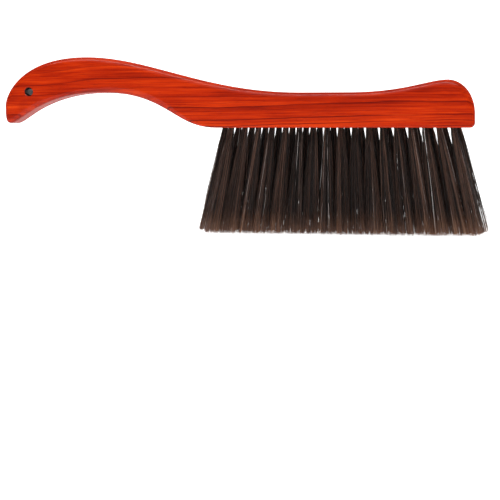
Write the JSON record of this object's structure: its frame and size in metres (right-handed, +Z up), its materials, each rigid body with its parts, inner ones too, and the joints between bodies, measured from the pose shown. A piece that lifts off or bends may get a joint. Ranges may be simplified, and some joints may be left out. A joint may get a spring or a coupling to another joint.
{
  "type": "neck duster brush",
  "caption": "Long-handled barber's neck duster: arched red-stained wooden handle and block in one piece, with two staggered rows of long soft dark bristles.",
  "frame": {"origin": "under the middle of the overall length, at the level of the trimmed bristle tips, on the board's middle plane", "axes": "+X from the handle's tail to the head end, +Y to the back, +Z up from the bristle tips to the handle"},
  "size_m": [0.3538, 0.027, 0.1261],
  "materials": {
    "stained_wood": "clear lacquer over red-orange stain, satin to gloss",
    "bristle": "dark brown-black fibre with a soft sheen, lighter brown at the tips",
    "anchor_wire": "drawn flat wire"
  },
  "bodies": {
    "root": {"handle": "stained_wood", "anchors_front": "anchor_wire", "anchors_back": "anchor_wire", "tuft_front_01": "bristle", "tuft_front_02": "bristle", "tuft_front_03": "bristle", "tuft_front_04": "bristle", "tuft_front_05": "bristle", "tuft_front_06": "bristle", "tuft_front_07": "bristle", "tuft_front_08": "bristle", "tuft_front_09": "bristle", "tuft_front_10": "bristle", "tuft_front_11": "bristle", "tuft_front_12": "bristle", "tuft_front_13": "bristle", "tuft_front_14": "bristle", "tuft_front_15": "bristle", "tuft_front_16": "bristle", "tuft_front_17": "bristle", "tuft_back_01": "bristle", "tuft_back_02": "bristle", "tuft_back_03": "bristle", "tuft_back_04": "bristle", "tuft_back_05": "bristle", "tuft_back_06": "bristle", "tuft_back_07": "bristle", "tuft_back_08": "bristle", "tuft_back_09": "bristle", "tuft_back_10": "bristle", "tuft_back_11": "bristle", "tuft_back_12": "bristle", "tuft_back_13": "bristle", "tuft_back_14": "bristle", "tuft_back_15": "bristle", "tuft_back_16": "bristle", "tuft_back_17": "bristle", "tuft_back_18": "bristle"}
  },
  "joints": []
}
